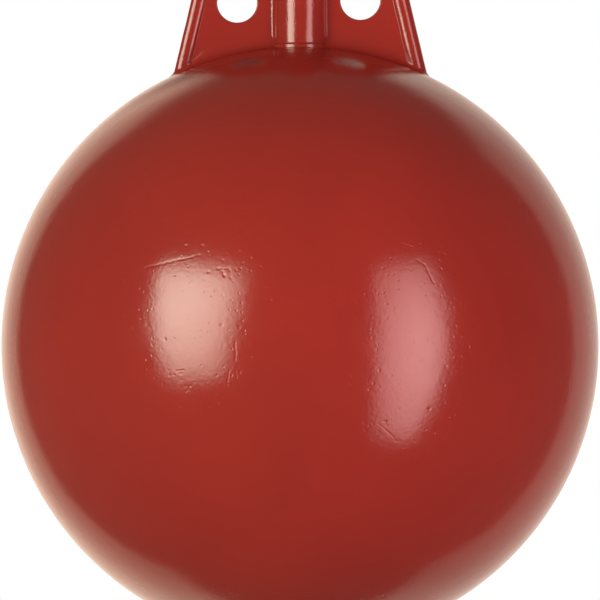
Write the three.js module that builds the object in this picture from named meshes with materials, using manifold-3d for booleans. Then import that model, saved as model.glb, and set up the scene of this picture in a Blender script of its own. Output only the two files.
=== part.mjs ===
// A marker buoy: one hollow-moulded plastic ball with a lug moulded on its crown.
//
// The lug is a thin upright web in the plane of the mould's joint. Its free edge is thickened to a
// round rim, a round post stands in its middle, and a rope eye goes through it on each side of the post.
// Ball, web, rim and post leave the mould as a single piece of plastic, so they are one solid here.
//
// Millimetres, +Z up. The origin is the lowest point of the ball. The web lies in the XZ plane.

import * as THREE from "three";
import { mergeVertices } from "three/addons/utils/BufferGeometryUtils.js";
import Module from "manifold-3d";

const wasm = await Module();
wasm.setup();

// Driving dimensions of the ball.
const ballDiameter = 300;

// The post in the middle of the lug. Its height is counted from the crown of the ball.
const postDiameter = 27;
const postHeight = 70;
const postTopRound = 5;
const postTopCrown = 1.2;

// A low ring round the foot of the post, with a groove-like fillet above it.
const ringStep = 0.9;
const ringHeight = 1.3;
const ringRound = 0.5;
const ringFillet = 0.7;

// The rope eyes. Their height is counted from the crown of the ball.
const eyeDiameter = 20;
const eyeSpacing = 62;
const eyeHeight = 23.4;
const eyeLipRound = 2;

// The web and its rim. The lug's height is counted from the crown of the ball, and the side margin is
// the plastic left between an eye and the lug's leaning side.
const webThickness = 6;
const rimDiameter = 9.4;
const lugHeight = 58;
const cornerRadius = 18;
const sideMargin = 13.6;
const sideLean = THREE.MathUtils.degToRad(13.3);

// The fillets where the web and the rim run into the ball, and where the web runs into the post.
const rootFillet = 5.5;
const rimFillet = 4.5;
const postFillet = 1.6;

// Facets: along and round the ball, round the post, round an eye, and on the small curves.
const ballRings = 32;
const ballSides = 64;
const postSides = 40;
const eyeSides = 40;
const rimSides = 16;
const rimSteps = 72;
const footSides = 24;
const roundSteps = 5;
const arcSteps = 12;

// Worked out from the values above.
const ballRadius = ballDiameter / 2;
const crownZ = ballDiameter;
const postRadius = postDiameter / 2;
const eyeRadius = eyeDiameter / 2;
const eyeX = eyeSpacing / 2;
const eyeZ = crownZ + eyeHeight;
const halfWeb = webThickness / 2;
const rimRadius = rimDiameter / 2;
const lugTopZ = crownZ + lugHeight;

// A closed three.js geometry as a solid that can be joined and cut.
function solidOf(geometry) {
  const bare = geometry.index ? geometry.clone() : geometry;
  bare.deleteAttribute("normal");
  bare.deleteAttribute("uv");
  const merged = mergeVertices(bare, 1e-4);
  const mesh = new wasm.Mesh({
    numProp: 3,
    vertProperties: new Float32Array(merged.attributes.position.array),
    triVerts: new Uint32Array(merged.index.array),
  });
  return new wasm.Manifold(mesh);
}

// A solid back as a three.js geometry.
function geometryOf(solid) {
  const { vertProperties, triVerts } = solid.getMesh();
  const geometry = new THREE.BufferGeometry();
  geometry.setAttribute("position", new THREE.BufferAttribute(vertProperties, 3));
  geometry.setIndex(new THREE.BufferAttribute(triVerts, 1));
  geometry.computeVertexNormals();
  return geometry;
}

// Points along a circular arc, both ends included.
function arc(centreX, centreY, radius, from, to, steps) {
  return Array.from({ length: steps + 1 }, (_, i) => {
    const angle = from + ((to - from) * i) / steps;
    return new THREE.Vector2(centreX + radius * Math.cos(angle), centreY + radius * Math.sin(angle));
  });
}

// A profile of (radius, height) points turned round the Z axis. It runs upwards on its outer side.
function turnedRoundZ(profile, sides) {
  return new THREE.LatheGeometry(profile, sides).rotateX(Math.PI / 2);
}

// A flat outline in the XZ plane, made as thick as asked and centred on that plane.
function plateInXZ(outline, thickness) {
  const shape = new THREE.Shape(outline);
  const plate = new THREE.ExtrudeGeometry(shape, { depth: thickness, bevelEnabled: false });
  return plate.translate(0, 0, -thickness / 2).rotateX(Math.PI / 2);
}

function ball() {
  const profile = arc(0, ballRadius, ballRadius, -Math.PI / 2, Math.PI / 2, ballRings);
  profile[0].x = 0;
  profile[ballRings].x = 0;
  return solidOf(turnedRoundZ(profile, ballSides));
}

// The post with the ring at its foot, a fillet over the ring, a rounded top edge and a slightly
// domed end.
function post() {
  const ringRadius = postRadius + ringStep;
  const ringTop = crownZ + ringHeight;
  const topZ = crownZ + postHeight;
  const shoulderZ = topZ - postTopCrown - postTopRound;
  const profile = [
    new THREE.Vector2(0, buriedZ),
    new THREE.Vector2(ringRadius, buriedZ),
    ...arc(ringRadius - ringRound, ringTop - ringRound, ringRound, 0, Math.PI / 2, roundSteps),
    ...arc(postRadius + ringFillet, ringTop + ringFillet, ringFillet, -Math.PI / 2, -Math.PI, roundSteps),
    ...arc(postRadius - postTopRound, shoulderZ, postTopRound, 0, Math.PI / 2, roundSteps),
    new THREE.Vector2(0, topZ),
  ];
  return solidOf(turnedRoundZ(profile, postSides));
}

// The lean of the lug's right side as two unit vectors: out of the plastic, and down along the side.
const sideOut = new THREE.Vector2(Math.cos(sideLean), Math.sin(sideLean));
const sideDown = new THREE.Vector2(Math.sin(sideLean), -Math.cos(sideLean));

// The point where the middle of the rim's right side enters the ball.
function rimFootPoint() {
  const ballCentre = new THREE.Vector2(0, ballRadius);
  const fromEye = eyeRadius + sideMargin - rimRadius;
  const onSide = new THREE.Vector2(eyeX, eyeZ).addScaledVector(sideOut, fromEye);
  const fromBall = onSide.clone().sub(ballCentre);
  const along = fromBall.dot(sideDown);
  const length = -along - Math.sqrt(along * along - fromBall.lengthSq() + ballRadius * ballRadius);
  return onSide.addScaledVector(sideDown, length);
}

// The centre of the lug's rounded right corner, which touches the leaning side and the level top.
function cornerCentre() {
  const z = lugTopZ - cornerRadius;
  const room = eyeRadius + sideMargin - cornerRadius - (z - eyeZ) * sideOut.y;
  return new THREE.Vector2(eyeX + room / sideOut.x, z);
}

// How far down the lug's hidden lower ends reach inside the ball.
const buriedZ = rimFootPoint().y - rimDiameter;

// The right half of the line that the rim's middle follows, in the XZ plane and drawn upwards: from
// inside the ball up the leaning side, round the corner, and level to the post's axis.
function rimHalf() {
  const centre = cornerCentre();
  const bend = cornerRadius - rimRadius;
  const start = rimFootPoint().addScaledVector(sideDown, rimDiameter);
  const bendStart = centre.clone().addScaledVector(sideOut, bend);
  const path = new THREE.Path();
  path.moveTo(start.x, start.y);
  path.lineTo(bendStart.x, bendStart.y);
  path.absarc(centre.x, centre.y, bend, sideLean, Math.PI / 2, false);
  path.lineTo(0, centre.y + bend);
  return path;
}

// The web's outline as a closed loop. It ends in the middle of the rim, and its foot is in the ball.
function webOutline() {
  const right = rimHalf().getPoints(arcSteps);
  const left = right
    .slice(0, -1)
    .reverse()
    .map((point) => new THREE.Vector2(-point.x, point.y));
  const foot = right[0].x;
  return [new THREE.Vector2(foot, buriedZ), ...right, ...left, new THREE.Vector2(-foot, buriedZ)];
}

function web() {
  return solidOf(plateInXZ(webOutline(), webThickness));
}

// The path of the rim's middle, from the foot on the right over the top to the foot on the left.
class RimPath extends THREE.Curve {
  constructor() {
    super();
    this.half = rimHalf();
  }
  getPoint(t, target = new THREE.Vector3()) {
    const point = this.half.getPointAt(1 - Math.abs(1 - 2 * t));
    return target.set(t < 0.5 ? point.x : -point.x, 0, point.y);
  }
}

function rim() {
  const section = new THREE.Shape();
  section.absarc(0, 0, rimRadius, 0, 2 * Math.PI, false);
  const outline = new THREE.Shape(section.getSpacedPoints(rimSides).slice(0, -1));
  return solidOf(new THREE.ExtrudeGeometry(outline, { steps: rimSteps, extrudePath: new RimPath() }));
}

// The fillet round the foot of the rim's right side. It starts as a trumpet that stands square on the
// ball, and is then stretched and sheared to lean as the rim does.
function rimFoot() {
  const foot = rimFootPoint();
  const tilt = Math.atan2(foot.x, foot.y - ballRadius);
  const lean = tilt + sideLean;
  const stretch = 1 / Math.cos(lean);
  const mouth = rimRadius + rimFillet;
  const mouthZ = Math.sqrt(ballRadius ** 2 - (mouth * stretch) ** 2) - ballRadius;
  const profile = [
    new THREE.Vector2(0, -rimDiameter),
    new THREE.Vector2(mouth, -rimDiameter),
    ...arc(mouth, mouthZ + rimFillet, rimFillet, -Math.PI / 2, -Math.PI, roundSteps),
    new THREE.Vector2(0, mouthZ + rimFillet),
  ];
  const shear = new THREE.Matrix4().makeShear(0, 0, 0, 0, -Math.tan(lean), 0);
  const trumpet = turnedRoundZ(profile, footSides).scale(stretch, 1, 1).applyMatrix4(shear);
  return trumpet.translate(0, 0, ballRadius).rotateY(tilt).translate(0, 0, ballRadius);
}

// The fillet between the web's faces and the ball: a ring turned round the Y axis through the ball's
// centre, cut to the web's outline.
function webRoot() {
  const away = halfWeb + rootFillet;
  const centreR = Math.sqrt((ballRadius + rootFillet) ** 2 - away ** 2);
  const meetsWeb = -Math.PI / 2;
  const meetsBall = Math.atan2(-away, -centreR);
  const upper = arc(centreR, away, rootFillet, meetsWeb, meetsBall, roundSteps);
  const lower = upper.map((point) => new THREE.Vector2(point.x, -point.y)).reverse();
  const innerR = upper[roundSteps].x - rootFillet;
  const ring = [
    new THREE.Vector2(innerR, lower[0].y),
    ...lower,
    ...upper,
    new THREE.Vector2(innerR, upper[roundSteps].y),
    new THREE.Vector2(innerR, lower[0].y),
  ];
  const turned = new THREE.LatheGeometry(ring, ballSides).translate(0, 0, ballRadius);
  return solidOf(turned).intersect(solidOf(plateInXZ(webOutline(), 4 * away)));
}

// The four small fillets between the post and the web's faces, as one upright bar round the post.
function postRoot() {
  const away = halfWeb + postFillet;
  const centreX = Math.sqrt((postRadius + postFillet) ** 2 - away ** 2);
  const meetsWeb = -Math.PI / 2;
  const meetsPost = -Math.PI + Math.atan2(away, centreX);
  const quarter = arc(centreX, away, postFillet, meetsWeb, meetsPost, roundSteps);
  const flip = (x, y) => quarter.map((point) => new THREE.Vector2(x * point.x, y * point.y));
  const section = [...flip(1, 1), ...flip(-1, 1).reverse(), ...flip(-1, -1), ...flip(1, -1).reverse()];
  const depth = lugTopZ - rimRadius - buriedZ;
  const bar = new THREE.ExtrudeGeometry(new THREE.Shape(section), { depth, bevelEnabled: false });
  return solidOf(bar.translate(0, 0, buriedZ));
}

// What an eye takes out of the web: a straight hole whose two mouths open out in a rounded lip.
function eyeCutter() {
  const lipRadius = eyeRadius + eyeLipRound;
  const lipY = halfWeb - eyeLipRound;
  const mouth = arc(lipRadius, lipY, eyeLipRound, Math.PI, Math.PI / 2, roundSteps);
  const back = mouth.map((point) => new THREE.Vector2(point.x, -point.y)).reverse();
  const profile = [
    new THREE.Vector2(0, -webThickness),
    new THREE.Vector2(lipRadius, -webThickness),
    ...back,
    ...mouth,
    new THREE.Vector2(lipRadius, webThickness),
    new THREE.Vector2(0, webThickness),
  ];
  return new THREE.LatheGeometry(profile, eyeSides);
}

function buoyBody() {
  const feet = [solidOf(rimFoot()), solidOf(rimFoot().rotateZ(Math.PI))];
  const lug = [web(), rim(), ...feet, webRoot(), postRoot(), post()];
  const whole = lug.reduce((sum, piece) => sum.add(piece), ball());
  return [-eyeX, eyeX].reduce(
    (body, x) => body.subtract(solidOf(eyeCutter().translate(x, 0, eyeZ))),
    whole,
  );
}

const redPlastic = new THREE.MeshStandardMaterial({
  color: new THREE.Color(0.4, 0.022, 0.02),
  roughness: 0.3,
  metalness: 0,
});

const buoy = new THREE.Group();
const body = new THREE.Mesh(geometryOf(buoyBody()), redPlastic);
body.name = "buoy_body";
buoy.add(body);

export default buoy;
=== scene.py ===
# %% [markdown]
# A marker buoy in glossy red plastic
#
# The real float is a hollow ball of hard plastic with a lug moulded on its crown. The lug is a thin
# web with a round rim, a rope eye on each side, and an upright post in its middle. It came out of one
# mould, so every corner between two forms is a soft fillet, and the whole skin is the same plastic.
#
# This notebook loads the CAD model, makes a finer skin over it, gives the skin its plastic, and
# lights it as a studio does. Lengths are in metres, +Z is up, and the camera looks along +Y.

# %% Load the CAD model
import math

import bmesh
import bpy
import numpy as np
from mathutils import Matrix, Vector


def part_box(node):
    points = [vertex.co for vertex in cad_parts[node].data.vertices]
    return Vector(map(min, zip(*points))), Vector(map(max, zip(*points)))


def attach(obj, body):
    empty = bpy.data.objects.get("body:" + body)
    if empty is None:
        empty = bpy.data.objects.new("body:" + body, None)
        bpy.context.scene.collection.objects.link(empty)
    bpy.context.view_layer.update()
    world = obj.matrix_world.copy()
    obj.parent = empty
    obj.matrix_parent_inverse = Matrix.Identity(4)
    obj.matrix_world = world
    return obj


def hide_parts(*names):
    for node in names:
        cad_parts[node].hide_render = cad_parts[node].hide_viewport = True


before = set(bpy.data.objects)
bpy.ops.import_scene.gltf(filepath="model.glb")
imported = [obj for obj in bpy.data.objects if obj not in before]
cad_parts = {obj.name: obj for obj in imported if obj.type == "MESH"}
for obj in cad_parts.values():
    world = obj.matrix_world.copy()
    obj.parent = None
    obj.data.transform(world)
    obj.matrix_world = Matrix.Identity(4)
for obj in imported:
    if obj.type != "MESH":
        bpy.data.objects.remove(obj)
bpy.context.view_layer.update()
cad_low, cad_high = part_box("buoy_body")
print("CAD solid from", tuple(cad_low), "to", tuple(cad_high))

# %% [markdown]
# The camera
#
# The ball fills the picture and its outline is a true circle, so the picture was taken from well
# back with a long lens, level with the ball's centre. The ball sits below the middle of the picture
# although the camera is level. A tilted camera would turn the circle into an oval and make the post
# lean, so the picture is moved with the lens shift instead.

# %% Place the camera
BALL_CENTRE = Vector((0, 0, 0.150))
CAMERA_DISTANCE = 2.5
SENSOR_WIDTH = 36.0
PICTURE_SIZE = 600
FOCAL_PIXELS = 4971
BALL_BELOW_MIDDLE = 45.8

camera_data = bpy.data.cameras.new("long_lens")
camera_data.sensor_width = SENSOR_WIDTH
camera_data.lens = FOCAL_PIXELS / PICTURE_SIZE * SENSOR_WIDTH
camera_data.shift_y = BALL_BELOW_MIDDLE / PICTURE_SIZE
camera_data.clip_end = 100
camera = bpy.data.objects.new("camera", camera_data)
camera.location = BALL_CENTRE - Vector((0, CAMERA_DISTANCE, 0))
camera.rotation_euler = (math.radians(90), 0, 0)
bpy.context.scene.collection.objects.link(camera)
bpy.context.scene.camera = camera
print("lens", round(camera_data.lens, 1), "mm, shift", round(camera_data.shift_y, 4))

# %% [markdown]
# The form as a distance field
#
# Moulded plastic has a fillet in every inner corner. Bevels can make fillets between flat faces, but
# here a thin web meets a ball, a rim runs into both, and a post stands in the middle. A distance
# field handles all of that in one way. It is a function that says how far a point is from the
# surface, below zero inside the plastic. Two fields join with a fillet of any radius in one line,
# and the field's slope is the exact surface normal, which a glossy finish needs.
#
# The fields work in millimetres, the unit of the mould's drawing.

# %% Ways to combine fields
# nothing is divided by less than this
TINY = 1e-9


def fillet_union(first, second, radius):
    """Join two forms, with a fillet of that radius in the inner corner between them."""
    over_first = np.maximum(radius - first, 0)
    over_second = np.maximum(radius - second, 0)
    return np.maximum(radius, np.minimum(first, second)) - np.hypot(over_first, over_second)


def rounded_overlap(first, second, radius):
    """Keep what two forms share, with the outer corner between them rounded to that radius."""
    inside_first = np.maximum(radius + first, 0)
    inside_second = np.maximum(radius + second, 0)
    return np.minimum(-radius, np.maximum(first, second)) + np.hypot(inside_first, inside_second)


def blend(value, start, end, low, high):
    """Go smoothly from low to high as the value goes from start to end."""
    share = np.clip((value - start) / (end - start), 0, 1)
    return low + (high - low) * share * share * (3 - 2 * share)


# %% [markdown]
# The sizes of the buoy
#
# Most of these are the sizes of the CAD model. The ball is a tenth of a millimetre smaller than the
# CAD solid, which leaves room for the slight waves of a moulded skin inside the solid's box. The
# drawing has the rope eyes at EYE_X and EYE_Z, and each sits a little off that place. The left rim
# came out a little narrower than the right one, with a flatter front, and the two halves of the lug
# change from one to the other within SIDE_CHANGE of the middle, hidden by the post. The fillet to the
# ball is wide along the web and tight at the feet of the rim.

# %% Sizes in millimetres
BALL_RADIUS = 149.9
BALL_Z = 150.0
CROWN_Z = 300.0

POST_RADIUS = 13.5
POST_TOP_Z = 369.9
POST_TOP_ROUND = 5.0
POST_DOME_RADIUS = 30.7
RING_RADIUS = 14.4
RING_TOP_Z = 301.3
RING_ROUND = 0.5
RING_FILLET = 0.7

EYE_X = 31.0
EYE_Z = 323.4
EYE_RADIUS = 10.0
EYE_LIP = 0.6
EYE_PLACES = ((-31.6, 322.4), (30.3, 323.8))

HALF_WEB = 3.0
RIM_RADIUS = 4.7
LUG_TOP_Z = 358.0
CORNER_RADIUS = 18.0
LUG_END_Z = 240.0
SIDE_MARGIN = 13.6
SIDE_LEAN = math.radians(13.3)

SIDE_CHANGE = 5.0
LEFT_RIM_HALF_WIDTH = 3.7
LEFT_RIM_ROUND = 2.4
LEFT_RIM_OUT = 0.5

ROOT_FILLET = 7.5
FOOT_FILLET = 2.2
FOOT_FROM_X = 46.0
FOOT_AT_X = 58.0
LEFT_POST_FILLET = 1.4
RIGHT_POST_FILLET = 0.6
RIM_BLEND = 0.15

SIDE_OUT = (math.cos(SIDE_LEAN), math.sin(SIDE_LEAN))
CORNER_Z = LUG_TOP_Z - CORNER_RADIUS
CORNER_ROOM = EYE_RADIUS + SIDE_MARGIN - CORNER_RADIUS - (CORNER_Z - EYE_Z) * SIDE_OUT[1]
CORNER_X = EYE_X + CORNER_ROOM / SIDE_OUT[0]
print("lug corner centre at x", round(CORNER_X, 2), "z", round(CORNER_Z, 2))

# %% [markdown]
# The waves of a moulded skin
#
# A hollow moulding shrinks as it cools, so its skin is never a perfect sphere or cylinder. The waves
# are a few hundredths of a millimetre high. Nobody sees them as shape, but they bend the edges of
# reflections, and without them the plastic looks computed. A few sine waves in random directions
# are enough. The random numbers have a fixed seed, so every run gives the same skin.

# %% Slow waves
def wave_set(seed, count, shortest, longest):
    """Directions, wave numbers and phases for waves with lengths between two values."""
    random = np.random.default_rng(seed)
    directions = random.normal(size=(count, 3))
    directions /= np.linalg.norm(directions, axis=1, keepdims=True)
    lengths = random.uniform(shortest, longest, count)
    phases = random.uniform(0, 2 * math.pi, count)
    return directions * (2 * math.pi / lengths)[:, None], phases


def wave_height(points, waves, height):
    """The summed waves at each point, with an overall height near the one given."""
    numbers, phases = waves
    total = np.sin(points @ numbers.T + phases).sum(axis=1)
    return height * total / math.sqrt(len(phases))


BALL_WAVES = wave_set(seed=4, count=7, shortest=28, longest=70)
BALL_WAVE_HEIGHT = 0.025
LUG_WAVES = wave_set(seed=9, count=6, shortest=9, longest=18)
LUG_WAVE_HEIGHT = 0.03

# %% [markdown]
# Scratches and dents of this buoy
#
# The buoy in the picture has marks that a random pattern can't put in the right place: a few long
# scratches, short nicks, and groups of small dents. Each is placed by its X and Z in millimetres
# from the ball's centre, on the front of the ball. A dent is a scratch without any length, so both
# come from one rule: the skin sinks by the mark's depth on its line, and by less towards its edge.
# Short waves move that edge in and out a little, because no real mark is even.

# %% Placed marks
SCRATCHES = (
    # start x, start z, end x, end z, half width, depth
    (-73.6, 37.3, -56.2, 41.4, 1.00, 0.045),
    (-58.2, 40.6, -48.1, 43.0, 0.90, 0.041),
    (55.7, 41.1, 59.5, 38.2, 0.75, 0.037),
    (59.3, 38.5, 63.5, 30.1, 0.75, 0.038),
    (48.5, 48.7, 53.3, 47.1, 0.70, 0.037),
    (37.2, -36.9, 44.6, -43.4, 0.80, 0.035),
    (-30.5, 1.6, -30.6, -7.0, 0.70, 0.038),
    (-39.0, 36.7, -33.7, 36.9, 0.80, 0.042),
    (-58.5, -12.0, -55.1, -11.5, 0.75, 0.041),
    (-34.4, -16.7, -33.4, -11.9, 0.70, 0.038),
    (-30.2, -11.5, -30.1, -14.8, 0.60, 0.037),
    (-54.0, -21.7, -51.6, -18.4, 0.70, 0.038),
)
DENTS = (
    # x, z, radius, depth
    (-37.1, 35.3, 1.10, 0.045),
    (-35.9, 33.1, 1.00, 0.044),
    (-33.5, 35.7, 1.10, 0.047),
    (-32.8, 32.4, 1.00, 0.044),
    (-31.6, 30.5, 0.90, 0.041),
    (-30.2, 35.7, 0.90, 0.042),
    (-27.4, 39.0, 1.00, 0.047),
    (-28.3, 36.7, 0.90, 0.044),
    (-38.8, 26.9, 1.30, 0.037),
    (-36.6, 24.3, 1.10, 0.035),
    (-45.6, 31.7, 1.20, 0.025),
    (-27.8, 20.3, 1.00, 0.044),
    (-27.6, 16.0, 0.80, 0.038),
    (-27.5, 12.0, 0.90, 0.045),
    (-28.9, 8.7, 0.80, 0.038),
    (-26.6, 7.0, 0.80, 0.038),
    (-32.3, 21.7, 0.90, 0.030),
    (-47.0, 3.5, 1.40, 0.029),
    (-45.3, 9.9, 0.90, 0.029),
    (-58.7, -2.7, 1.30, 0.025),
    (-33.7, 7.7, 0.80, 0.032),
    (-61.9, -14.1, 1.20, 0.045),
    (-56.8, -13.2, 1.10, 0.044),
    (-54.0, -19.1, 1.00, 0.044),
    (-52.5, -21.2, 1.00, 0.045),
    (-51.8, -19.1, 0.80, 0.041),
    (-47.8, -23.1, 1.00, 0.038),
    (-34.2, -18.3, 0.80, 0.038),
    (-32.3, -14.3, 0.90, 0.041),
    (-65.3, -17.7, 0.90, 0.034),
    (-74.3, 25.7, 1.00, 0.034),
    (-72.7, 9.9, 1.10, 0.032),
    (-70.5, 0.4, 1.00, 0.032),
    (71.2, 20.4, 0.90, 0.044),
    (72.7, 18.3, 0.80, 0.044),
    (74.1, 9.4, 1.00, 0.050),
    (72.9, 4.2, 0.80, 0.041),
    (68.8, -18.7, 1.00, 0.047),
    (67.3, -18.2, 0.80, 0.041),
    (69.7, -9.6, 0.80, 0.038),
    (65.1, -9.4, 1.00, 0.035),
    (67.0, 36.6, 0.90, 0.041),
    (70.1, 35.2, 0.80, 0.038),
    (74.5, 34.3, 1.00, 0.040),
    (41.1, 12.9, 1.10, 0.044),
    (40.3, 23.6, 1.00, 0.037),
    (41.7, 33.6, 1.10, 0.037),
    (39.4, 36.7, 0.90, 0.037),
    (53.3, -26.7, 1.10, 0.038),
    (37.6, -11.5, 1.00, 0.038),
    (34.8, -17.6, 1.00, 0.038),
    (32.4, -20.5, 0.90, 0.035),
    (30.3, -36.4, 1.10, 0.044),
    (32.9, -37.8, 1.00, 0.044),
    (31.3, -40.2, 1.00, 0.042),
    (34.6, -37.1, 0.90, 0.041),
    (37.5, -40.9, 1.10, 0.038),
    (45.6, -45.3, 1.10, 0.037),
    (35.0, 26.5, 0.90, 0.035),
    (34.3, 3.7, 0.90, 0.035),
    (61.8, 21.8, 1.20, 0.029),
    (49.9, -32.9, 1.20, 0.029),
)
DENT_LINES = tuple((x, z, x, z, radius, depth) for x, z, radius, depth in DENTS)
MARKS = np.array(SCRATCHES + DENT_LINES)
# how far the marks reach from the ball's centre, along X and along Z
MARK_REGION = (90.0, 60.0)
RAGGED_WAVES = wave_set(seed=21, count=8, shortest=1.6, longest=4.0)
RAGGED = 0.2


def in_mark_region(x, y, z):
    return (y < 0) & (np.abs(x) < MARK_REGION[0]) & (np.abs(z - BALL_Z) < MARK_REGION[1])


def from_mark(x, z, mark):
    """How far points of the front plane are from the line of one mark."""
    start_x, start_z, end_x, end_z = mark[:4]
    line_x, line_z = end_x - start_x, end_z - start_z
    along = (x - start_x) * line_x + (z - start_z) * line_z
    share = np.clip(along / max(line_x**2 + line_z**2, TINY), 0, 1)
    return np.hypot(x - start_x - share * line_x, z - start_z - share * line_z)


def mark_depth(x, y, z):
    """How deep the skin is sunk by the marks at each point."""
    depth = np.zeros_like(x)
    region = np.flatnonzero(in_mark_region(x, y, z))
    near_x, near_z = x[region], z[region] - BALL_Z
    ragged = wave_height(np.column_stack((x, y, z))[region], RAGGED_WAVES, RAGGED)
    for mark in MARKS:
        half_width, mark_deep = mark[4:]
        middle_x, middle_z = (mark[:2] + mark[2:4]) / 2
        reach = half_width + 2 * RAGGED + np.hypot(*(mark[2:4] - mark[:2])) / 2
        close = (np.abs(near_x - middle_x) < reach) & (np.abs(near_z - middle_z) < reach)
        close = np.flatnonzero(close)
        away = from_mark(near_x[close], near_z[close], mark) + ragged[close]
        depth[region[close]] += blend(away, 0, half_width, mark_deep, 0)
    return depth


print("marks:", len(SCRATCHES), "scratches and", len(DENTS), "dents")

# %% [markdown]
# The buoy's field
#
# The web and the rim both follow the outline of the lug, so one distance serves both: how far a
# point lies outside the middle line of the rim. The web fills the inside of that line and the rim is
# a bar along it. The line is the same on the left and the right, so its distance is worked out for the
# right half, from the size of x. Only the rim's section differs between the two sides. A field has no
# end of its own, so the lug and the post are cut off inside the ball, where nobody sees it.

# %% The field of the whole buoy
def left_to_right(x, left, right):
    """A size that changes from its left to its right value across the middle of the lug."""
    return blend(x, -SIDE_CHANGE, SIDE_CHANGE, left, right)


def outside_rim_line(x, z):
    """How far a point of the XZ plane lies outside the middle line of the lug's rim."""
    from_corner_x = np.abs(x) - CORNER_X
    from_corner_z = z - CORNER_Z
    past_side = from_corner_x * SIDE_OUT[0] + from_corner_z * SIDE_OUT[1]
    down_side = from_corner_x * SIDE_OUT[1] - from_corner_z * SIDE_OUT[0]
    straight = np.maximum(from_corner_z, past_side)
    round_corner = np.hypot(from_corner_x, from_corner_z)
    on_straight = (from_corner_x < 0) | (down_side > 0)
    return np.where(on_straight, straight, round_corner) - (CORNER_RADIUS - RIM_RADIUS)


def buoy_field(points):
    """The distance from each point to the skin of the buoy, below zero inside the plastic."""
    x, y, z = points.T
    around_post = np.hypot(x, y)
    lug_wave = wave_height(points, LUG_WAVES, LUG_WAVE_HEIGHT)

    ball = np.sqrt(x**2 + y**2 + (z - BALL_Z) ** 2) - BALL_RADIUS
    ball = ball + wave_height(points, BALL_WAVES, BALL_WAVE_HEIGHT) + mark_depth(x, y, z)

    rim_line = outside_rim_line(x, z)
    web = np.maximum(np.abs(y) - HALF_WEB, rim_line)
    half_width = left_to_right(x, LEFT_RIM_HALF_WIDTH, RIM_RADIUS)
    rim_round = left_to_right(x, LEFT_RIM_ROUND, RIM_RADIUS)
    across = (rim_line - left_to_right(x, LEFT_RIM_OUT, 0)) / half_width
    past_flat = np.maximum(np.abs(y) - (RIM_RADIUS - rim_round), 0) / rim_round
    rim = (np.hypot(across, past_flat) - 1) * rim_round
    lug = fillet_union(web, rim, RIM_BLEND) + lug_wave

    dome_z = POST_TOP_Z - POST_DOME_RADIUS
    dome = np.hypot(around_post, np.maximum(z - dome_z, 0)) - POST_DOME_RADIUS
    shaft = rounded_overlap(around_post - POST_RADIUS, dome, POST_TOP_ROUND) + lug_wave
    ring = rounded_overlap(around_post - RING_RADIUS, z - RING_TOP_Z, RING_ROUND)
    post = fillet_union(shaft, ring, RING_FILLET)

    lug = np.maximum(lug, LUG_END_Z - z)
    post = np.maximum(post, LUG_END_Z - z)
    root_fillet = blend(np.abs(x), FOOT_FROM_X, FOOT_AT_X, ROOT_FILLET, FOOT_FILLET)
    post_fillet = left_to_right(x, LEFT_POST_FILLET, RIGHT_POST_FILLET)
    ball_and_lug = fillet_union(ball, lug, root_fillet)
    lug_and_post = fillet_union(lug, post, post_fillet)
    whole = np.minimum(ball_and_lug, lug_and_post)

    to_eyes = [np.hypot(x - eye_x, z - eye_z) for eye_x, eye_z in EYE_PLACES]
    beside_eye = EYE_RADIUS - np.minimum(*to_eyes)
    return rounded_overlap(whole, beside_eye, EYE_LIP)


def field_slope(points, step=0.02):
    """The field's slope at each point, from small steps along the three axes."""
    slope = np.empty_like(points)
    for axis in range(3):
        offset = np.zeros(3)
        offset[axis] = step
        ahead = buoy_field(points + offset)
        behind = buoy_field(points - offset)
        slope[:, axis] = (ahead - behind) / (2 * step)
    return slope


# %% [markdown]
# A rough skin from Blender's own forms
#
# The field needs a mesh to pull onto it. Blender's simple forms give one quickly: a ball, a
# cylinder for the post, a filled flat curve with two holes for the web, and a curve with a round
# bevel for the rim. The voxel remesh then melts them into one closed skin of quads, which no chain
# of booleans gives. It is rough, but only its layout matters, since the field corrects it.

# %% Rough forms, melted into one skin
MM = 0.001
VOXEL_SIZE = 3.4
RIM_FOOT_DROP = 60.0
POST_FOOT_DROP = 10.0


def new_object(name, data):
    piece = bpy.data.objects.new(name, data)
    bpy.context.scene.collection.objects.link(piece)
    return piece


def rim_line_points(corner_steps=12):
    """The middle line of the rim, from the right foot over the top to the left foot."""
    bend = CORNER_RADIUS - RIM_RADIUS
    angles = np.linspace(SIDE_LEAN, math.pi / 2, corner_steps)
    right = [(CORNER_X + bend * math.cos(a), CORNER_Z + bend * math.sin(a)) for a in angles]
    foot_x = right[0][0] + RIM_FOOT_DROP * math.tan(SIDE_LEAN)
    right.insert(0, (foot_x, right[0][1] - RIM_FOOT_DROP))
    left = [(-x, z) for x, z in reversed(right)]
    return right + left


def circle_points(centre_x, centre_z, radius, count=40):
    angles = np.linspace(0, 2 * math.pi, count, endpoint=False)
    return [(centre_x + radius * math.cos(a), centre_z + radius * math.sin(a)) for a in angles]


def add_spline(curve, points, closed):
    spline = curve.splines.new("POLY")
    spline.points.add(len(points) - 1)
    for slot, (x, z) in zip(spline.points, points):
        slot.co = (x * MM, z * MM, 0, 1)
    spline.use_cyclic_u = closed


def web_curve():
    """The web: a filled flat curve whose two inner loops are the rope eyes."""
    curve = bpy.data.curves.new("web", "CURVE")
    curve.dimensions = "2D"
    curve.fill_mode = "BOTH"
    curve.extrude = HALF_WEB * MM
    add_spline(curve, rim_line_points(), closed=True)
    for eye_x, eye_z in EYE_PLACES:
        add_spline(curve, circle_points(eye_x, eye_z, EYE_RADIUS), closed=True)
    return curve


def rim_curve():
    """The rim: a round bar bent along the lug's outline."""
    curve = bpy.data.curves.new("rim", "CURVE")
    curve.dimensions = "3D"
    curve.bevel_depth = RIM_RADIUS * MM
    curve.bevel_resolution = 4
    curve.use_fill_caps = True
    add_spline(curve, rim_line_points(), closed=False)
    return curve


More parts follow.
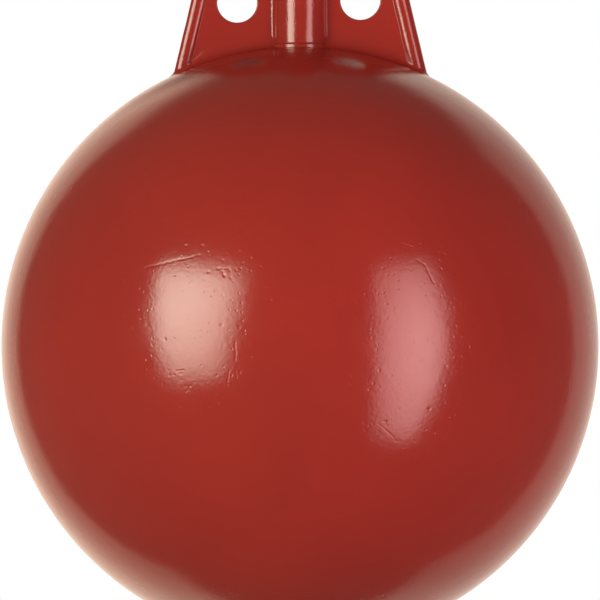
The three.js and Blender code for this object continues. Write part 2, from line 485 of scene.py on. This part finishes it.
def rough_skin():
    """The rough forms in one mesh, melted by a voxel remesh."""
    together = bmesh.new()
    for curve in (web_curve(), rim_curve()):
        bar = new_object(curve.name, curve)
        bar.rotation_euler = (math.radians(90), 0, 0)
        bpy.context.view_layer.update()
        evaluated = bar.evaluated_get(bpy.context.evaluated_depsgraph_get())
        shape = bpy.data.meshes.new_from_object(evaluated)
        shape.transform(bar.matrix_world)
        together.from_mesh(shape)
        bpy.data.objects.remove(bar)

    ball = bmesh.ops.create_icosphere(together, subdivisions=6, radius=BALL_RADIUS * MM)
    bmesh.ops.translate(together, verts=ball["verts"], vec=(0, 0, BALL_Z * MM))
    post_foot = CROWN_Z - POST_FOOT_DROP
    post = bmesh.ops.create_cone(
        together,
        cap_ends=True,
        segments=48,
        radius1=POST_RADIUS * MM,
        radius2=POST_RADIUS * MM,
        depth=(POST_TOP_Z - post_foot) * MM,
    )
    post_middle = (POST_TOP_Z + post_foot) / 2
    bmesh.ops.translate(together, verts=post["verts"], vec=(0, 0, post_middle * MM))

    mesh = bpy.data.meshes.new("rough_forms")
    together.to_mesh(mesh)
    together.free()
    forms = new_object("rough_forms", mesh)
    melt = forms.modifiers.new("melt", "REMESH")
    melt.mode = "VOXEL"
    melt.voxel_size = VOXEL_SIZE * MM
    bpy.context.view_layer.update()
    melted = forms.evaluated_get(bpy.context.evaluated_depsgraph_get())
    skin = bpy.data.meshes.new_from_object(melted)
    bpy.data.objects.remove(forms)
    return skin


skin = rough_skin()
print("rough skin:", len(skin.vertices), "points,", len(skin.polygons), "faces")

# %% [markdown]
# Pull the skin onto the field
#
# A point that is a known distance off the surface only has to move that far along the field's
# slope. Two or three such moves bring it there. Between them the points drift towards the middle
# of their neighbours, which evens out the quads that the voxel grid left uneven. The drift can't
# spoil the form, because every point is pulled back onto the field afterwards.

# %% Settle points on the surface
# the square of the slope isn't taken for less than this
LEAST_STEEPNESS = 0.05


def read_points(mesh):
    points = np.empty(len(mesh.vertices) * 3)
    mesh.vertices.foreach_get("co", points)
    return points.reshape(-1, 3) / MM


def write_points(mesh, points):
    mesh.vertices.foreach_set("co", (points * MM).ravel())
    mesh.update()


def read_edges(mesh):
    edges = np.empty(len(mesh.edges) * 2, dtype=np.int64)
    mesh.edges.foreach_get("vertices", edges)
    return edges.reshape(-1, 2)


def pull_onto_field(points, rounds):
    for _ in range(rounds):
        slope = field_slope(points)
        steepness = np.maximum((slope**2).sum(axis=1), LEAST_STEEPNESS)
        points = points - slope * (buoy_field(points) / steepness)[:, None]
    return points


def neighbour_middle(points, edges):
    """The mean place of each point's neighbours."""
    start, end = edges.T
    count = np.bincount(edges.ravel(), minlength=len(points))
    total = np.empty_like(points)
    for axis in range(3):
        from_end = np.bincount(start, points[end, axis], len(points))
        from_start = np.bincount(end, points[start, axis], len(points))
        total[:, axis] = from_end + from_start
    return total / count[:, None]


def settle(mesh, drifts, share=0.5):
    """Even out the mesh and pull it onto the field, a few times over."""
    points = pull_onto_field(read_points(mesh), rounds=3)
    edges = read_edges(mesh)
    for _ in range(drifts):
        points = points + share * (neighbour_middle(points, edges) - points)
        points = pull_onto_field(points, rounds=1)
    points = pull_onto_field(points, rounds=2)
    write_points(mesh, points)
    return np.abs(buoy_field(points)).max()


print("largest error after settling:", round(settle(skin, drifts=6), 4), "mm")

# %% [markdown]
# Smaller faces where the form turns quickly
#
# The ball is smooth with faces of 3.4 mm, but the rim, the lips of the eyes and the fillets turn
# within a few millimetres. Each pass here finds the faces whose normals turn too much from one point
# to the next, cuts them in four, and settles the new points. The faces on and close to a mark are cut
# too, because a face larger than a dent would miss it. The rest of the ball keeps its large faces, so
# the triangles go where the form needs them.

# %% Refine the tight curves
REFINEMENTS = (
    # turn limit in radians, margin round the marks in millimetres
    (0.13, 1.6),
    (0.15, 0.7),
    (0.22, 0.3),
    (0.50, None),
)


def unit_normals(points):
    slope = field_slope(points)
    return slope / np.maximum(np.linalg.norm(slope, axis=1, keepdims=True), TINY)


def near_a_mark(points, margin):
    x, y, z = points.T
    near = np.zeros(len(points), dtype=bool)
    region = np.flatnonzero(in_mark_region(x, y, z))
    for mark in MARKS:
        away = from_mark(x[region], z[region] - BALL_Z, mark)
        near[region] |= away < mark[4] + margin
    return near


def refine(mesh, turn_limit, mark_margin):
    """Cut in four every face that turns by more than the limit along an edge, or is near a mark."""
    points = read_points(mesh)
    normals = unit_normals(points)
    edges = read_edges(mesh)
    to_refine = np.linalg.norm(normals[edges[:, 0]] - normals[edges[:, 1]], axis=1) > turn_limit
    if mark_margin is not None:
        to_refine |= near_a_mark(points, mark_margin)[edges].any(axis=1)
    cutter = bmesh.new()
    cutter.from_mesh(mesh)
    cutter.edges.ensure_lookup_table()
    to_cut = set()
    for index in np.flatnonzero(to_refine):
        for face in cutter.edges[index].link_faces:
            to_cut.update(face.edges)
    bmesh.ops.subdivide_edges(cutter, edges=list(to_cut), cuts=1, use_grid_fill=True)
    cutter.to_mesh(mesh)
    cutter.free()


for turn_limit, mark_margin in REFINEMENTS:
    refine(skin, turn_limit, mark_margin)
    error = settle(skin, drifts=3, share=0.3)
    print("refined to", len(skin.polygons), "faces, largest error", round(error, 4), "mm")

# %% [markdown]
# Exact normals, and the finished piece
#
# Blender works out smooth normals from the faces around each point, and a glossy surface shows the
# small errors in that as wobbling highlights. The field's slope is the true normal, so it is stored
# on the mesh as custom normals. The piece then takes the CAD solid's place and rides on its body.

# %% Make the piece
skin.polygons.foreach_set("use_smooth", [True] * len(skin.polygons))
skin.normals_split_custom_set_from_vertices(unit_normals(read_points(skin)))
skin.materials.clear()
buoy = new_object("moulded_buoy", skin)
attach(buoy, "root")
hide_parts("buoy_body")
skin.calc_loop_triangles()
print("finished skin:", len(skin.vertices), "points,", len(skin.loop_triangles), "triangles")

# %% [markdown]
# Helpers for nodes
#
# The plastic, the lamps and the world are built from nodes, and a script that makes many nodes is
# easier to read with small helpers. The first adds a node and fills or links its inputs, the second
# does arithmetic on values, and the third turns one range of values into another.

# %% Node helpers
def add_node(tree, kind, inputs=None, **settings):
    node = tree.nodes.new(kind)
    for name, value in settings.items():
        setattr(node, name, value)
    for key, value in (inputs or {}).items():
        socket = node.inputs[key]
        if isinstance(value, bpy.types.NodeSocket):
            tree.links.new(value, socket)
        else:
            socket.default_value = value
    return node


def calc(tree, operation, *values, clamp=False):
    inputs = dict(enumerate(values))
    node = add_node(tree, "ShaderNodeMath", inputs, operation=operation, use_clamp=clamp)
    return node.outputs["Value"]


def ramp(tree, value, start, end, low=0.0, high=1.0, smooth=True):
    """A value that goes from low to high as the given one goes from start to end."""
    kind = "SMOOTHSTEP" if smooth else "LINEAR"
    inputs = {"Value": value, "From Min": start, "From Max": end, "To Min": low, "To Max": high}
    node = add_node(tree, "ShaderNodeMapRange", inputs, interpolation_type=kind)
    return node.outputs["Result"]


# %% [markdown]
# The plastic: colour and gloss
#
# The pigment is mixed into the plastic, so the colour is even and only drifts a little where the
# wall cooled at another speed. Noise with a coarse scale and a small range does that. The gloss
# comes from the Principled shader: the ball was blown against a slightly worn mould and reflects a
# little more softly than the lug, which was pinched between polished halves. Ropes have dulled the
# crown of the ball. The height above the floor tells the three apart, and fine patches of scuffing
# change it a little everywhere. All of it uses object coordinates, so it stays on the plastic when the
# buoy moves.

# %% Colour and roughness of the plastic
PLASTIC_RED = (0.330, 0.0240, 0.0155, 1)
PLASTIC_DEEP_RED = (0.305, 0.0215, 0.0145, 1)
BALL_ROUGHNESS = 0.14
CROWN_ROUGHNESS = 0.17
LUG_ROUGHNESS = 0.13
CROWN_HEIGHTS = (0.262, 0.288)
LUG_HEIGHTS = (0.297, 0.303)
SCUFFING = (-0.015, 0.03)
PLASTIC_IOR = 1.5
SPECULAR_LEVEL = 0.645
SPECULAR_TINT = (1.0, 0.94, 0.79, 1)

plastic = bpy.data.materials.new("moulded_red_plastic")
plastic.use_nodes = True
plastic_tree = plastic.node_tree
plastic_shader = plastic_tree.nodes["Principled BSDF"]
coordinates = add_node(plastic_tree, "ShaderNodeTexCoord").outputs["Object"]
position = add_node(plastic_tree, "ShaderNodeSeparateXYZ", {"Vector": coordinates})


def noise(scale, detail=2.0, roughness=0.5):
    """Noise over the plastic, from 0 to 1. The scale is in waves for each metre."""
    inputs = {"Vector": coordinates, "Scale": scale, "Detail": detail, "Roughness": roughness}
    return add_node(plastic_tree, "ShaderNodeTexNoise", inputs).outputs["Fac"]


drift = ramp(plastic_tree, noise(scale=14, detail=3), start=0.3, end=0.7)
pigment = add_node(
    plastic_tree,
    "ShaderNodeMix",
    {"Factor": drift, "A": PLASTIC_RED, "B": PLASTIC_DEEP_RED},
    data_type="RGBA",
)
plastic_tree.links.new(pigment.outputs["Result"], plastic_shader.inputs["Base Color"])

above_floor = position.outputs["Z"]
ball_gloss = ramp(
    plastic_tree, above_floor, *CROWN_HEIGHTS, low=BALL_ROUGHNESS, high=CROWN_ROUGHNESS
)
gloss = ramp(plastic_tree, above_floor, *LUG_HEIGHTS, low=ball_gloss, high=LUG_ROUGHNESS)
patches = noise(scale=90, detail=4, roughness=0.6)
scuffing = ramp(plastic_tree, patches, start=0.35, end=0.75, low=SCUFFING[0], high=SCUFFING[1])
roughness = calc(plastic_tree, "ADD", gloss, scuffing)
plastic_tree.links.new(roughness, plastic_shader.inputs["Roughness"])
plastic_shader.inputs["IOR"].default_value = PLASTIC_IOR
plastic_shader.inputs["Specular IOR Level"].default_value = SPECULAR_LEVEL
plastic_shader.inputs["Specular Tint"].default_value = SPECULAR_TINT
print("plastic roughness", BALL_ROUGHNESS, "on the ball and", LUG_ROUGHNESS, "on the lug")

# %% [markdown]
# Fine pits in the skin
#
# Small gas bubbles and dust in the mould leave pits of one or two millimetres. Real dents in the mesh
# would take millions of faces, so they are made with the Bump node. A Voronoi texture scatters one
# round spot in each of its cells, and its random cell colour picks the cells that keep theirs. Two
# sizes and a faint grain together look natural. Noise pushes the texture's coordinates about by
# less than a millimetre, which makes each pit a little different from a circle.

# %% Pits and grain
PIT_WARP = 0.9
PIT_WARP_SCALE = 650

warp_noise = add_node(
    plastic_tree,
    "ShaderNodeTexNoise",
    {"Vector": coordinates, "Scale": PIT_WARP_SCALE, "Detail": 1.0},
)
warped = add_node(
    plastic_tree,
    "ShaderNodeVectorMath",
    {0: warp_noise.outputs["Color"], 1: (PIT_WARP * MM,) * 3, 2: coordinates},
    operation="MULTIPLY_ADD",
).outputs["Vector"]


def scattered_pits(cells_per_metre, radius, kept_share):
    """Roundish pits, 1 in the middle and 0 outside. The radius is in millimetres."""
    inputs = {"Vector": warped, "Scale": cells_per_metre, "Randomness": 1.0}
    cells = add_node(plastic_tree, "ShaderNodeTexVoronoi", inputs)
    radius_in_cells = radius * MM * cells_per_metre
    spot = ramp(plastic_tree, cells.outputs["Distance"], 0, radius_in_cells, low=1, high=0)
    luck = add_node(plastic_tree, "ShaderNodeSeparateColor", {"Color": cells.outputs["Color"]})
    kept = calc(plastic_tree, "LESS_THAN", luck.outputs["Red"], kept_share)
    return calc(plastic_tree, "MULTIPLY", spot, kept)


def raise_by(total, pattern, rise):
    """Add a pattern to the surface's height so far. Its rise is in millimetres."""
    return calc(plastic_tree, "MULTIPLY_ADD", pattern, rise, total)


small_pits = scattered_pits(cells_per_metre=300, radius=0.80, kept_share=0.55)
large_pits = scattered_pits(cells_per_metre=105, radius=1.40, kept_share=0.60)
skin_height = 0.0
for pattern, rise in (
    # pattern, how far it rises, or sinks below zero
    (small_pits, -0.055),
    (large_pits, -0.085),
    (noise(scale=600), 0.042),
    (noise(scale=160), 0.055),
):
    skin_height = raise_by(skin_height, pattern, rise)
print("pits: small and large, with a faint grain between them")

# %% [markdown]
# The mould's parting line
#
# The two halves of the mould met in the plane of the lug, and left a low bead round the ball there.
# From the front it lies on the ball's outline, so it shows only in side views. It is a narrow bump
# where y is near zero, and it stops below the lug.

# %% Parting line
PARTING_HALF_WIDTH = 0.7
PARTING_HEIGHT = 0.06
PARTING_END = (0.286, 0.290)

off_plane = calc(plastic_tree, "ABSOLUTE", position.outputs["Y"])
bead = ramp(plastic_tree, off_plane, 0, PARTING_HALF_WIDTH * MM, low=1, high=0)
below_lug = ramp(plastic_tree, above_floor, *PARTING_END, low=1, high=0)
parting_line = calc(plastic_tree, "MULTIPLY", bead, below_lug)

surface_height = raise_by(skin_height, parting_line, PARTING_HEIGHT)
bump = add_node(
    plastic_tree,
    "ShaderNodeBump",
    {"Strength": 1.0, "Distance": MM, "Height": surface_height},
)
plastic_tree.links.new(bump.outputs["Normal"], plastic_shader.inputs["Normal"])
skin.materials.append(plastic)
print("parting line", 2 * PARTING_HALF_WIDTH, "mm wide")

# %% [markdown]
# The floor
#
# The picture has a white background without a visible floor edge. The floor here is a large pale
# sheet that shows the buoy's shadow close by, and turns into plain white farther off, for the camera
# only. That keeps the background white without adding light to the buoy. The sheet is left out of
# the plastic's reflections, which come from the studio's world below.

# %% Floor
FLOOR_SIZE = 60
FLOOR_COLOUR = (0.80, 0.79, 0.78, 1)
WHITE_FROM = 0.18
WHITE_AT = 0.40

floor_shape = bmesh.new()
bmesh.ops.create_grid(floor_shape, x_segments=1, y_segments=1, size=FLOOR_SIZE / 2)
floor_mesh = bpy.data.meshes.new("studio_floor")
floor_shape.to_mesh(floor_mesh)
floor_shape.free()
floor = new_object("studio_floor", floor_mesh)
floor.visible_glossy = False
floor.visible_shadow = False

floor_paper = bpy.data.materials.new("studio_paper")
floor_paper.use_nodes = True
paper_tree = floor_paper.node_tree
paper_shader = paper_tree.nodes["Principled BSDF"]
paper_shader.inputs["Base Color"].default_value = FLOOR_COLOUR
paper_shader.inputs["Roughness"].default_value = 0.9
paper_shader.inputs["Specular IOR Level"].default_value = 0.0
paper_place = add_node(paper_tree, "ShaderNodeTexCoord").outputs["Object"]
from_buoy = add_node(
    paper_tree, "ShaderNodeVectorMath", {0: paper_place}, operation="LENGTH"
).outputs["Value"]
far_off = ramp(paper_tree, from_buoy, WHITE_FROM, WHITE_AT)
camera_ray = add_node(paper_tree, "ShaderNodeLightPath").outputs["Is Camera Ray"]
white_share = calc(paper_tree, "MULTIPLY", far_off, camera_ray)
white = add_node(paper_tree, "ShaderNodeEmission", {"Color": (1, 1, 1, 1), "Strength": 1.0})
paper_mix = add_node(
    paper_tree,
    "ShaderNodeMixShader",
    {0: white_share, 1: paper_shader.outputs["BSDF"], 2: white.outputs["Emission"]},
)
paper_output = paper_tree.nodes["Material Output"]
paper_tree.links.new(paper_mix.outputs["Shader"], paper_output.inputs["Surface"])
floor_mesh.materials.append(floor_paper)
print("floor", FLOOR_SIZE, "m wide, plain white beyond", WHITE_AT, "m")

# %% [markdown]
# Two softboxes
#
# The ball is a mirror of the studio. It shows two upright softboxes, one on each side in front, and
# each reflection gives the direction and the width of its lamp. They are area lamps, placed by
# azimuth and elevation as seen from the ball. A real softbox is brightest where its bulb is, so the
# lamp's own nodes fade it from that spot towards its edges.

# %% Softboxes
LAMP_DISTANCE = 1.6


def lamp_pattern(tree, soft, hot_spot, reach, fall, slant=(0.0, 0.0), bulge=(0.0, 0.0)):
    """How bright each place of a lamp's face is, from 0 to 1.

    Left and right are as the ball shows them.
    soft is the width of the dim margin at the left, right, lower and upper edges, slant and bulge are
    how far the sides come in at the foot and at the far corners, and fall is the loss of light at a
    distance of reach from the hot spot. All are shares of the lamp's size.
    """
    place = add_node(tree, "ShaderNodeNewGeometry").outputs["Parametric"]
    parts = add_node(tree, "ShaderNodeSeparateXYZ", {"Vector": place})
    across, up = parts.outputs["X"], parts.outputs["Y"]
    below = calc(tree, "SUBTRACT", 1.0, up)
    foot = calc(tree, "MULTIPLY", below, below)
    from_middle = calc(tree, "SUBTRACT", calc(tree, "MULTIPLY", up, 2.0), 1.0)
    corner = calc(tree, "MULTIPLY", from_middle, from_middle)
    from_left = calc(tree, "SUBTRACT", across, calc(tree, "MULTIPLY", foot, slant[0]))
    from_left = calc(tree, "SUBTRACT", from_left, calc(tree, "MULTIPLY", corner, bulge[0]))
    from_right = calc(tree, "SUBTRACT", 1.0, across)
    from_right = calc(tree, "SUBTRACT", from_right, calc(tree, "MULTIPLY", foot, slant[1]))
    from_right = calc(tree, "SUBTRACT", from_right, calc(tree, "MULTIPLY", corner, bulge[1]))
    away = add_node(tree, "ShaderNodeVectorMath", {0: place, 1: (*hot_spot, 0)}, operation="DISTANCE")
    glow = ramp(tree, away.outputs["Value"], 0, reach, low=1.0, high=1.0 - fall)
    for distance, margin in zip((from_left, from_right, up, below), soft):
        glow = calc(tree, "MULTIPLY", glow, ramp(tree, distance, 0, margin))
    return glow


def softbox(name, azimuth, elevation, half_width, half_height, radiance, tint, **pattern):
    """An area lamp that faces the buoy. Angles are in degrees, from the camera's side."""
    turn = math.radians(azimuth)
    rise = math.radians(elevation)
    outward = Vector(
        (math.sin(turn) * math.cos(rise), -math.cos(turn) * math.cos(rise), math.sin(rise))
    )
    lamp = bpy.data.lights.new(name, "AREA")
    lamp.shape = "RECTANGLE"
    lamp.size = 2 * LAMP_DISTANCE * math.tan(math.radians(half_width))
    lamp.size_y = 2 * LAMP_DISTANCE * math.tan(math.radians(half_height))
    lamp.energy = radiance * math.pi * lamp.size * lamp.size_y
    lamp.use_nodes = True
    tree = lamp.node_tree
    emission = next(n for n in tree.nodes if n.type == "EMISSION")
    emission.inputs["Color"].default_value = (*tint, 1)
    tree.links.new(lamp_pattern(tree, **pattern), emission.inputs["Strength"])
    holder = new_object(name, lamp)
    holder.location = BALL_CENTRE + LAMP_DISTANCE * outward
    holder.rotation_euler = outward.to_track_quat("Z", "Y").to_euler()
    holder.visible_camera = False
    print(name, "is", round(lamp.size, 2), "m by", round(lamp.size_y, 2), "m")
    return holder


softbox(
    "left_softbox",
    azimuth=-38.6,
    elevation=8.3,
    half_width=21.1,
    half_height=24.2,
    radiance=8.9,
    tint=(1.0, 1.0, 0.97),
    soft=(0.16, 0.26, 0.2, 0.24),
    slant=(0.2, 0.17),
    hot_spot=(0.38, 0.62),
    reach=0.85,
    fall=0.8,
)
softbox(
    "right_softbox",
    azimuth=42.2,
    elevation=-2.2,
    half_width=18.4,
    half_height=34.5,
    radiance=6.6,
    tint=(1.0, 0.70, 0.80),
    soft=(0.18, 0.25, 0.14, 0.14),
    slant=(0.05, 0.23),
    bulge=(0.06, 0.085),
    hot_spot=(0.55, 0.49),
    reach=0.75,
    fall=0.92,
)

# %% [markdown]
# A lamp behind
#
# The two softboxes leave the back of the buoy dark. A third lamp of about their brightness stands
# behind and above it. Only the crown of the ball gets any of its light on the camera's side. It lights
# the plastic's own colour and isn't mirrored, because the picture shows no third reflection.

# %% Back lamp
back_lamp = softbox(
    "back_lamp",
    azimuth=180,
    elevation=22,
    half_width=26,
    half_height=24,
    radiance=8.0,
    tint=(1.0, 0.98, 0.95),
    soft=(0.2, 0.2, 0.2, 0.2),
    hot_spot=(0.5, 0.5),
    reach=1.0,
    fall=0.5,
)
back_lamp.visible_glossy = False

# %% [markdown]
# The world round the buoy
#
# Behind the buoy stands a white backdrop that reaches round to its sides. The ball reflects it as a
# pale band along its outline, and the rest of the room is dark. The world does the same: it is white
# in the directions of the backdrop and nearly dark elsewhere, and plain white for the camera. The
# middle of the backdrop is shaded from some way up, which shows through the rope eyes, in the crown's
# reflection. The world's generated coordinates are the direction, and the azimuth and the elevation
# follow from them. The angles are in degrees, with azimuth 0 straight behind the buoy.

# %% World
BACKDROP_LEFT = -41.5
BACKDROP_LEFT_SOFT = 1.5
BACKDROP_LEFT_TILT = 0.08
BACKDROP_RIGHT = 51
BACKDROP_RIGHT_SOFT = 3
BACKDROP_TOP = 40
BACKDROP_TOP_SOFT = 8
BACKDROP_BOTTOM = (-60, -48)
# the azimuth where it begins to dim, the azimuth where that ends, and the share of light left there
BACKDROP_DIM_LEFT = (-20, -38, 0.62)
BACKDROP_DIM_RIGHT = (-5, 42, 0.50)
SHADED_MIDDLE = -3
SHADED_SIDE = (4, 18)
SHADED_RISE = (10, 26)
BACKDROP_WARM = (1.3, 1.0, 0.77, 1)
BACKDROP_CREAM = (1.17, 0.99, 0.84, 1)
BACKDROP_TINT_TURN = (-30, 25)
BACKDROP_SPILL = 0.6
ROOM_MIRRORED = 0.15
ROOM_BEHIND = 0.06
# how far a direction points backwards, from 0 to 1, where the room gets that dark
ROOM_BEHIND_Y = (0.62, 0.80)
ROOM_SPILL = 0.03

world = bpy.data.worlds.new("studio")
world.use_nodes = True
bpy.context.scene.world = world
sky = world.node_tree
sky.nodes.clear()
direction = add_node(sky, "ShaderNodeTexCoord").outputs["Generated"]
heading = add_node(sky, "ShaderNodeSeparateXYZ", {"Vector": direction})
turned = calc(sky, "ARCTAN2", heading.outputs["X"], heading.outputs["Y"])
turned = calc(sky, "DEGREES", turned)
risen = calc(sky, "DEGREES", calc(sky, "ARCSINE", heading.outputs["Z"]))
past_left = calc(sky, "SUBTRACT", turned, calc(sky, "MULTIPLY", risen, BACKDROP_LEFT_TILT))
backdrop = ramp(
    sky, past_left, BACKDROP_LEFT - BACKDROP_LEFT_SOFT, BACKDROP_LEFT + BACKDROP_LEFT_SOFT
)
for value, start, end in (
    (turned, BACKDROP_RIGHT + BACKDROP_RIGHT_SOFT, BACKDROP_RIGHT - BACKDROP_RIGHT_SOFT),
    (risen, BACKDROP_TOP + BACKDROP_TOP_SOFT, BACKDROP_TOP - BACKDROP_TOP_SOFT),
    (risen, *BACKDROP_BOTTOM),
):
    backdrop = calc(sky, "MULTIPLY", backdrop, ramp(sky, value, start, end))
sideways = calc(sky, "ABSOLUTE", calc(sky, "SUBTRACT", turned, SHADED_MIDDLE))
shaded = ramp(sky, sideways, *SHADED_SIDE, low=1.0, high=0.0)
shaded = calc(sky, "MULTIPLY", shaded, ramp(sky, risen, *SHADED_RISE))
backdrop = calc(sky, "MULTIPLY", backdrop, calc(sky, "SUBTRACT", 1.0, shaded))
for start, end, dim in (BACKDROP_DIM_LEFT, BACKDROP_DIM_RIGHT):
    share = ramp(sky, turned, start, end, low=1.0, high=dim, smooth=False)
    backdrop = calc(sky, "MULTIPLY", backdrop, share)
backwards = heading.outputs["Y"]
room = ramp(sky, backwards, *ROOM_BEHIND_Y, low=ROOM_MIRRORED, high=ROOM_BEHIND)
mirrored = calc(sky, "MAXIMUM", backdrop, room)
spilled = calc(sky, "ADD", calc(sky, "MULTIPLY", backdrop, BACKDROP_SPILL), ROOM_SPILL)
backdrop_tint = add_node(
    sky,
    "ShaderNodeMix",
    {
        "Factor": ramp(sky, turned, *BACKDROP_TINT_TURN),
        "A": BACKDROP_WARM,
        "B": BACKDROP_CREAM,
    },
    data_type="RGBA",
).outputs["Result"]
rays = add_node(sky, "ShaderNodeLightPath")
shades = {
    "mirror": add_node(sky, "ShaderNodeBackground", {"Color": backdrop_tint, "Strength": mirrored}),
    "spill": add_node(sky, "ShaderNodeBackground", {"Color": (1, 1, 1, 1), "Strength": spilled}),
    "white": add_node(sky, "ShaderNodeBackground", {"Color": (1, 1, 1, 1), "Strength": 1.0}),
}
around = add_node(
    sky,
    "ShaderNodeMixShader",
    {
        0: rays.outputs["Is Glossy Ray"],
        1: shades["spill"].outputs["Background"],
        2: shades["mirror"].outputs["Background"],
    },
)
world_mix = add_node(
    sky,
    "ShaderNodeMixShader",
    {
        0: rays.outputs["Is Camera Ray"],
        1: around.outputs["Shader"],
        2: shades["white"].outputs["Background"],
    },
)
add_node(sky, "ShaderNodeOutputWorld", {"Surface": world_mix.outputs["Shader"]})
print("backdrop from", BACKDROP_LEFT, "to", BACKDROP_RIGHT, "degrees")

# %% [markdown]
# Finish
#
# The Standard view keeps the colours as they are written, and the last line brings the scene up to
# date.

bpy.context.scene.view_settings.view_transform = "Standard"
bpy.context.view_layer.update()
